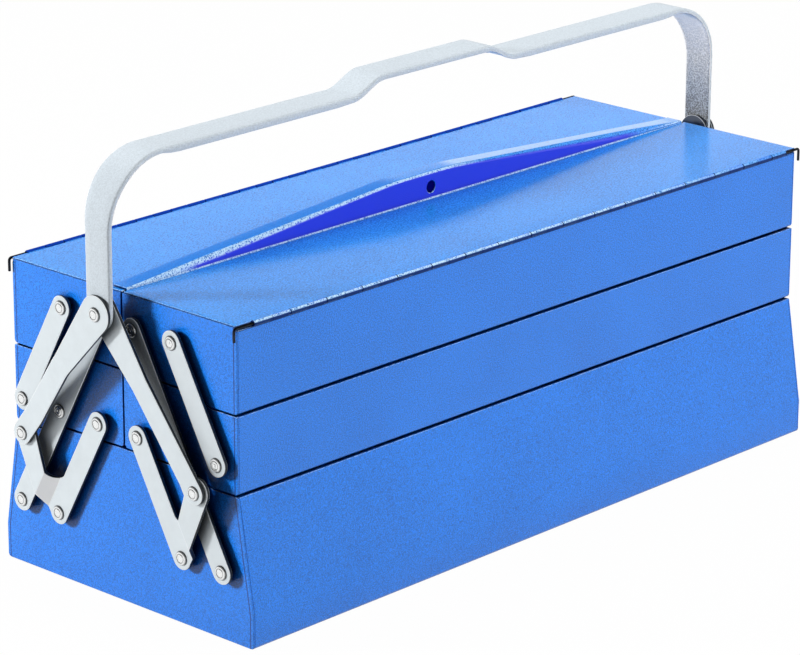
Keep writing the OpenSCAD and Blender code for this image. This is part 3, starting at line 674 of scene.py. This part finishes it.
def lid_section(s, x, edge_y, front_y):
    """Outer line of the front lid's section and its inner line, one sheet inside: (y, z) pairs."""
    h = ridge_height(s, x)
    along = min(1, abs(x) / s.ridge_foot)
    crest = s.crest + (s.crest_end - s.crest) * along ** 1.5
    fold = s.fold
    scale = min(1, 0.96 * h / (crest + fold))
    crest, fold = crest * scale, fold * scale
    t = s.sheet
    outer = [(edge_y, 0)] + [(edge_y + (front_y - 6 * MM - edge_y) * k / 6, 0) for k in range(1, 7)]
    inner = [(y, -t) for y, _ in outer]
    outer += arc_points((front_y - fold, fold), fold, -90, 0, 5)
    inner += arc_points((front_y - fold, fold), fold + t, -90, 0, 5)
    top = arc_points((front_y + crest, h - crest), crest, 180, 90, 7)
    under = arc_points((front_y + crest, h - crest), max(crest - t, 0.04 * MM), 180, 90, 7)
    if crest < t:
        under = [(max(y, front_y + t), min(z, h - t)) for y, z in under]
    outer += top
    inner += under
    for k in (0.5, 1):
        y = front_y + crest + (s.lip - crest) * k
        outer.append((y, h))
        inner.append((y, h - t))
    return outer, inner


def lid_stations(s, half_length):
    """Places along the lid at which its section is drawn."""
    inside = [v * MM for v in (0, 10, 19, 24, 28, 32, 37, 46)]
    inside += [s.ridge_top + (s.ridge_foot - s.ridge_top) * k / 16 for k in range(2, 15)]
    inside += [s.ridge_foot - 12 * MM, s.ridge_foot - 6 * MM, s.ridge_foot, s.ridge_end]
    inside = sorted(set(inside))
    return [-half_length] + [-v for v in reversed(inside) if v > 0] + inside + [half_length]


def barrel_ring(s, bm, from_x, to_x, axis_y, axis_z, plate_y):
    """A rolled knuckle about the hinge axis, joined to the lid sheet at plate_y."""
    facing = 1 if plate_y > axis_y else -1
    reach = abs(plate_y - axis_y)
    bore_r = s.wire + 0.05 * MM
    top, under = s.hinge_drop, s.hinge_drop - s.sheet
    start = math.degrees(math.asin(top / s.barrel))
    end, steps = 318, 26
    outer = [(reach, top), (s.barrel, top)] + arc_points((0, 0), s.barrel, start, end, steps)
    inner = arc_points((0, 0), bore_r, end, 0, steps) + [(s.barrel - 0.3 * MM, under), (reach, under)]
    section = outer + inner
    rings = [[bm.verts.new((x, axis_y + facing * y, axis_z + z)) for y, z in section] for x in (from_x, to_x)]
    loft(bm, rings, capped=False)
    n, m = len(outer), len(section)
    for ring in rings:
        # Ends of the roll, in quads between the outer and the inner line
        for i in range(steps + 1):
            a, b = ring[i + 1], ring[min(i + 2, n - 1)]
            c, d = ring[m - 2 - min(i + 1, steps)], ring[m - 2 - i]
            corners = list(dict.fromkeys((a, b, c, d)))
            if len(corners) > 2:
                bm.faces.new(corners)
        bm.faces.new((ring[0], ring[1], ring[m - 2], ring[m - 1]))


def front_lid_mesh(s, half_length, axis_y, lid_top):
    """Sheet of the front lid with its ridge and lip, and the y of its edge along the hinge."""
    edge_y = axis_y + s.barrel + s.edge_gap
    front_y = -s.ridge_y
    stations = lid_stations(s, half_length)
    bm = bmesh.new()
    outer_rows, inner_rows = [], []
    for x in stations:
        outer, inner = lid_section(s, x, edge_y, front_y)
        outer_rows.append([bm.verts.new((x, y, lid_top + z)) for y, z in outer])
        inner_rows.append([bm.verts.new((x, y, lid_top + z)) for y, z in inner])
    # Section points at the end of the flat sheet, before the fold, and at the lip's edge
    flat, last = 7, len(outer_rows[0]) - 1

    def width(i):
        """Number of section points in use between station i and the next."""
        beyond = abs(stations[i] + stations[i + 1]) / 2 > s.ridge_end
        return flat if beyond else last

    for i in range(len(stations) - 1):
        for j in range(width(i)):
            for rows in (outer_rows, inner_rows):
                bm.faces.new((rows[i][j], rows[i][j + 1], rows[i + 1][j + 1], rows[i + 1][j]))
        for j in (0, width(i)):
            bm.faces.new((outer_rows[i][j], inner_rows[i][j], inner_rows[i + 1][j], outer_rows[i + 1][j]))
    for i, (start, end) in ((0, (0, flat)), (1, (flat, last)),
                            (len(stations) - 2, (flat, last)), (len(stations) - 1, (0, flat))):
        for j in range(start, end):
            bm.faces.new((outer_rows[i][j], inner_rows[i][j], inner_rows[i][j + 1], outer_rows[i][j + 1]))
    spare = [v for v in bm.verts if not v.link_faces]
    bmesh.ops.delete(bm, geom=spare, context="VERTS")
    return mesh_of(bm, "front_lid"), edge_y


def knuckle_spans(s, half_length):
    """The x range of each knuckle, from the left end."""
    hinge_half = half_length - s.hinge_end
    pitch = 2 * hinge_half / s.knuckles
    return [
        (-hinge_half + i * pitch + s.knuckle_gap / 2, -hinge_half + (i + 1) * pitch - s.knuckle_gap / 2)
        for i in range(s.knuckles)
    ]


def wire_mesh(s, reach, axis_y, axis_z):
    """Hinge wire with its ends bent down, out to the reach from the middle."""
    bend = 2 * s.wire
    half = [(0, axis_z), (reach - bend, axis_z)]
    half += arc_points((reach - bend, axis_z - bend), bend, 90, 0, 6)[1:]
    half += [(reach, axis_z - s.wire_drop + 0.3 * MM), (reach, axis_z - s.wire_drop)]
    line = [(-x, z) for x, z in reversed(half[1:])] + half
    radii = [s.wire - 0.25 * MM, *[s.wire] * (len(line) - 2), s.wire - 0.25 * MM]
    turns = [2 * math.pi * k / 16 for k in range(16)]
    bm = bmesh.new()
    loft(bm, [
        [bm.verts.new(Vector((x, axis_y, z)) + r * (out * math.cos(a) + Vector((0, 1, 0)) * math.sin(a)))
         for a in turns]
        for ((x, z), out), r in zip(squares(line), radii)
    ])
    return mesh_of(bm, "hinge_wire")


# ---------------- rivets

# Radii of a rivet's shank, of the thicker handle pivot's, of a tail and of a link's shoulder
SHANK, PIVOT_SHANK, TAIL, SHOULDER = 2.5 * MM, 3 * MM, 4 * MM, 4.2 * MM
# Heights of a tail inside the panel and of a link's shoulder, and thickness of the panel
TAIL_HEIGHT, SHOULDER_HEIGHT, PANEL = 1.5 * MM, 3.3 * MM, 1.2 * MM


def head_profile(far, shank):
    """Set head, from its seat on the shank to its top: an upright rim, a round shoulder, the groove
    that the setting tool presses and a low crown with a dimple. Each ring is (share of the height
    over the rim, share of the radius)."""
    s = bpy.context.scene.toolbox_links
    radius, rim, seat = s.head_radius, s.head_edge, far - s.head_height
    height = far - seat - rim
    rings = ((0, 0.975), (0.36, 0.92), (0.66, 0.83), (0.82, 0.74), (0.8, 0.69), (0.52, 0.64), (0.5, 0.6),
             (0.78, 0.54), (0.96, 0.44), (1, 0.34), (0.96, 0.24), (0.74, 0.14), (0.66, 0.05))
    points = [(seat, shank), (seat, radius - 0.1 * MM), (seat + 0.1 * MM, radius),
              (seat + rim - 0.15 * MM, radius)]
    return points + [(seat + rim + height * x, radius * r) for x, r in rings]


def rivet_piece(node, profile, material):
    """All rivets of a CAD node, turned from a profile that starts at the inner end."""
    facets = bpy.context.scene.toolbox_links.facets
    bm = bmesh.new()
    for low, high in islands(node):
        side = 1 if low.x > 0 else -1
        near, far = sorted((abs(low.x), abs(high.x)))
        centre = ((low.y + high.y) / 2, (low.z + high.z) / 2)
        turned_mesh(bm, profile(near, far), centre, side, facets)
    piece = new_piece(f"{node}_dressed", mesh_of(bm, node), material)
    smooth(piece, 40)
    return attach(piece, node)


def tail_profile(near, shank):
    """Set tail inside the panel, out to the shank."""
    ease, panel = 0.4 * MM, near + TAIL_HEIGHT
    return [(near, TAIL - ease), (near + ease, TAIL), (panel, TAIL), (panel, shank)]


def panel_rivet(near, far):
    """Rivet of a link: tail inside the panel, shoulder that holds the link off it, and head."""
    face = near + TAIL_HEIGHT + PANEL
    edge = face + SHOULDER_HEIGHT
    return tail_profile(near, SHANK) + [
        (face, SHANK), (face, SHOULDER), (edge, SHOULDER), (edge, SHANK),
    ] + head_profile(far, SHANK)


def arm_rivet(near, far):
    """Rivet of a long arm, whose tail is a piece of its own: shank and head."""
    return [(near, SHANK)] + head_profile(far, SHANK)


def plate_rivet(near, far):
    """The tail of a long arm's rivet, in the bent plate."""
    return tail_profile(near, SHANK) + [(far, SHANK)]


def pivot_rivet(near, far):
    """Handle pivot, thicker than the others, with the same head."""
    return tail_profile(near, PIVOT_SHANK) + head_profile(far, PIVOT_SHANK)


# ---------------- operators

class TOOLBOX_OT_base(Operator):
    """Enamels the base: its trough of one sheet and its two end panels"""
    bl_idname = "toolbox.base"
    bl_label = "Base"

    def execute(self, context):
        edge = context.scene.toolbox_enamel.edge
        enamel = blue_enamel()
        for node in ("base_trough", "base_left_end", "base_right_end"):
            rounded_copy(node, enamel, edge)
        return {"FINISHED"}


class TOOLBOX_OT_trays(Operator):
    """Enamels the four trays: each a trough and two end panels"""
    bl_idname = "toolbox.trays"
    bl_label = "Trays"

    def execute(self, context):
        edge = context.scene.toolbox_enamel.edge
        enamel = blue_enamel()
        for side in SIDES:
            for tier in ("middle", "upper"):
                for part in ("trough", "left_end", "right_end"):
                    rounded_copy(f"{side}_{tier}_{part}", enamel, edge)
        return {"FINISHED"}


class TOOLBOX_OT_lids(Operator):
    """Makes the front lid with its locking ridge and enamels the back lid"""
    bl_idname = "toolbox.lids"
    bl_label = "Lids"

    def execute(self, context):
        s = context.scene.toolbox_lids
        edge = context.scene.toolbox_enamel.lid_edge
        enamel = blue_enamel("stove_enamel_blue_lids", lid=True)
        low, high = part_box("front_lid")
        wire_low, wire_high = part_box("front_hinge_wire")
        axis_y = (wire_low.y + wire_high.y) / 2
        axis_z = wire_high.z - s.wire
        half_length, lid_top = (high.x - low.x) / 2, axis_z + s.hinge_drop
        mesh, edge_y = front_lid_mesh(s, half_length, axis_y, lid_top)
        lid = new_piece("front_lid_dressed", mesh, enamel)
        hole = (s.hole_offset, -s.ridge_y + s.sheet / 2, lid_top + s.hole_height)
        bore(lid, hole, (0, 1, 0), s.hole_radius, 6 * MM)
        round_edges(lid, edge, angle=50)
        bm = bmesh.new()
        for from_x, to_x in knuckle_spans(s, half_length)[::2]:
            barrel_ring(s, bm, from_x, to_x, axis_y, axis_z, edge_y)
        knuckles = new_piece("front_lid_knuckles", mesh_of(bm, "front_lid_knuckles"), enamel)
        smooth(knuckles)
        attach(lid, "front_lid")
        attach(knuckles, "front_lid")
        bm = bmesh.new()
        corner_y = axis_y + s.wire + s.edge_gap
        for sign in (-1, 1):
            ends = sorted((sign * half_length, sign * (half_length - s.hinge_end + s.knuckle_gap)))
            size = Vector((ends[1] - ends[0], edge_y - corner_y, s.sheet))
            centre = Vector((sum(ends) / 2, (edge_y + corner_y) / 2, lid_top - s.sheet / 2))
            bmesh.ops.create_cube(bm, size=1, matrix=Matrix.Translation(centre) @ Matrix.Diagonal((*size, 1)))
        corners = new_piece("front_lid_corners", mesh_of(bm, "front_lid_corners"), enamel)
        attach(corners, "front_lid")
        rounded_copy("back_lid", enamel, edge)
        return {"FINISHED"}


class TOOLBOX_OT_hinge_wires(Operator):
    """Makes the two hinge wires, with their ends bent down over the corners"""
    bl_idname = "toolbox.hinge_wires"
    bl_label = "Hinge wires"

    def execute(self, context):
        s = context.scene.toolbox_lids
        steel = dark_wire()
        for side in SIDES:
            node = f"{side}_hinge_wire"
            low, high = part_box(node)
            mesh = wire_mesh(s, high.x - s.wire, (low.y + high.y) / 2, high.z - s.wire)
            wire = new_piece(f"{node}_dressed", mesh, steel)
            smooth(wire, 40)
            attach(wire, node)
        return {"FINISHED"}


class TOOLBOX_OT_links(Operator):
    """Plates the links, the bent plates and the long arms"""
    bl_idname = "toolbox.links"
    bl_label = "Links and arms"

    def execute(self, context):
        s = context.scene.toolbox_links
        zinc = link_zinc()
        for side in SIDES:
            for end in ENDS:
                for part in ("double_link", "short_link", "bent_plate", "arm"):
                    rounded_copy(f"{side}_{end}_{part}", zinc, s.edge, arc=True)
        return {"FINISHED"}


class TOOLBOX_OT_rivets(Operator):
    """Turns the rivets of the links, the arms and the handle"""
    bl_idname = "toolbox.rivets"
    bl_label = "Rivets"

    def execute(self, context):
        zinc = rivet_zinc()
        kinds = {
            "base_rivets": panel_rivet, "handle_pivots": pivot_rivet,
            **{f"{side}_{tier}_rivets": panel_rivet for side in SIDES for tier in ("middle", "upper")},
            **{f"{side}_arm_rivets": arm_rivet for side in SIDES},
            **{f"{side}_plate_rivets": plate_rivet for side in SIDES},
        }
        for node, profile in kinds.items():
            rivet_piece(node, profile, zinc)
        rounded_copy("handle_washers", zinc, 0.08 * MM)
        return {"FINISHED"}


class TOOLBOX_OT_handle(Operator):
    """Makes the strap handle, with its bends, raised grip and turned-down edges"""
    bl_idname = "toolbox.handle"
    bl_label = "Handle"

    def execute(self, context):
        s = context.scene.toolbox_handle
        low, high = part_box("handle")
        base_z = high.z - s.rise - s.grip_lift
        handle = new_piece("handle_dressed", handle_mesh(s, base_z, high.x), silver_paint())
        bore(handle, (0, 0, base_z), (1, 0, 0), s.pivot_radius, 1.2 * (high.x - low.x))
        smooth(handle, 35)
        attach(handle, "handle")
        return {"FINISHED"}


class TOOLBOX_OT_stage(Operator):
    """Sets the camera, the lamps, the surroundings and the floor"""
    bl_idname = "toolbox.stage"
    bl_label = "Stage"

    def execute(self, context):
        s = context.scene.toolbox_stage
        context.scene.view_settings.view_transform = "Standard"
        place, aim = Vector(s.place), Vector(s.aim)
        data = bpy.data.cameras.new("camera")
        data.lens, data.sensor_width = s.lens, 36
        data.clip_start, data.clip_end = 0.1, 30
        camera = bpy.data.objects.new("camera", data)
        context.scene.collection.objects.link(camera)
        camera.location = place
        camera.rotation_mode = "QUATERNION"
        roll = Matrix.Rotation(s.roll, 4, "Z").to_quaternion()
        camera.rotation_quaternion = (aim - place).to_track_quat("-Z", "Y") @ roll
        context.scene.camera = camera

        # Name, place and width in metres, and power
        lamps = (
            ("key_lamp", (-1.5, 1.15, 0.62), 0.28, s.key),
            ("front_lamp", (0.6, -2.2, 1.4), 1.0, s.front),
            ("top_lamp", (0.1, 0.2, 1.75), 1.3, s.top),
            ("rear_lamp", (0.15, 1.5, 1.8), 0.8, s.rear),
            ("side_lamp", (1.55, 0.5, 1.65), 0.8, s.side),
        )
        for name, where, size, watts in lamps:
            lamp = bpy.data.lights.new(name, "AREA")
            lamp.shape, lamp.size, lamp.energy = "SQUARE", size, watts
            holder = bpy.data.objects.new(name, lamp)
            context.scene.collection.objects.link(holder)
            holder.location = where
            # No lamp shows in gloss, where it would lie as a white patch on the lids
            holder.visible_glossy = False
            holder.rotation_mode = "QUATERNION"
            holder.rotation_quaternion = (Vector((0, 0, 0.12)) - Vector(where)).to_track_quat("-Z", "Y")

        world = bpy.data.worlds.new("surroundings")
        context.scene.world = world
        world.use_nodes = True
        tree = world.node_tree
        tree.nodes.clear()
        light = add_node(tree, "Background", {"Color": (1, 1, 1, 1), "Strength": s.dome})[0]
        # The white backdrop ends at a height; gloss reflects the dim room over it
        height = add_node(tree, "SeparateXYZ", [add_node(tree, "TexCoord")["Generated"]])["Z"]
        over = (height, s.backdrop - s.fade, s.backdrop + s.fade, 1, s.room)
        strength = mask(tree, [over, add_node(tree, "LightPath")["Is Camera Ray"]])
        white = add_node(tree, "Background", {"Color": (1, 1, 1, 1), "Strength": strength})[0]
        mix = add_node(tree, "MixShader", (seen_directly(tree), light, white))[0]
        add_node(tree, "OutputWorld", {"Surface": mix})

        bm = bmesh.new()
        bmesh.ops.create_grid(bm, x_segments=1, y_segments=1, size=6)
        material, tree = new_material("pale_floor")
        matte = add_node(tree, "BsdfDiffuse", {"Color": (*s.floor, 1)})[0]
        glow = add_node(tree, "Emission", {"Color": (1, 1, 1, 1), "Strength": 1.02})[0]
        mix = add_node(tree, "MixShader", (mask(tree, seen_directly(tree), s.glow), matte, glow))[0]
        add_node(tree, "OutputMaterial", {"Surface": mix})
        floor = new_piece("floor", mesh_of(bm, "floor"), material)
        # A little under the foot, so that no two faces share a plane
        floor.location.z = -0.4 * MM
        return {"FINISHED"}


def seen_directly(tree):
    """1 for what the camera sees, also in a reflection or through glass, and 0 as light."""
    path = add_node(tree, "LightPath")
    return mask(tree, [path["Is Camera Ray"], path["Is Glossy Ray"], path["Is Transmission Ray"]])


OPERATORS = (
    TOOLBOX_OT_base, TOOLBOX_OT_trays, TOOLBOX_OT_lids, TOOLBOX_OT_hinge_wires, TOOLBOX_OT_links,
    TOOLBOX_OT_rivets, TOOLBOX_OT_handle, TOOLBOX_OT_stage,
)
SETTINGS = {
    "toolbox_enamel": EnamelSettings,
    "toolbox_links": LinkSettings,
    "toolbox_handle": HandleSettings,
    "toolbox_lids": LidSettings,
    "toolbox_stage": StageSettings,
}


class TOOLBOX_PT_panel(Panel):
    """Lists the tool box's pieces and their sizes"""
    bl_idname = "TOOLBOX_PT_panel"
    bl_label = "Tool Box"
    bl_space_type = "VIEW_3D"
    bl_region_type = "UI"
    bl_category = "Tool Box"

    def draw(self, context):
        column = self.layout.column(align=True)
        for kind in OPERATORS:
            column.operator(kind.bl_idname)
        for name in SETTINGS:
            group = getattr(context.scene, name)
            box = self.layout.box()
            for field in group.bl_rna.properties.keys():
                if field not in ("rna_type", "name"):
                    box.prop(group, field)


CLASSES = (*SETTINGS.values(), *OPERATORS, TOOLBOX_PT_panel)


def register():
    for kind in CLASSES:
        bpy.utils.register_class(kind)
    for name, kind in SETTINGS.items():
        setattr(bpy.types.Scene, name, PointerProperty(type=kind))


def unregister():
    for name in SETTINGS:
        delattr(bpy.types.Scene, name)
    for kind in reversed(CLASSES):
        bpy.utils.unregister_class(kind)


def main():
    register()
    for kind in OPERATORS:
        group, name = kind.bl_idname.split(".")
        if getattr(getattr(bpy.ops, group), name)() != {"FINISHED"}:
            raise RuntimeError(f"{kind.bl_label} could not be made")
    bpy.context.view_layer.update()


if __name__ == "__main__":
    main()
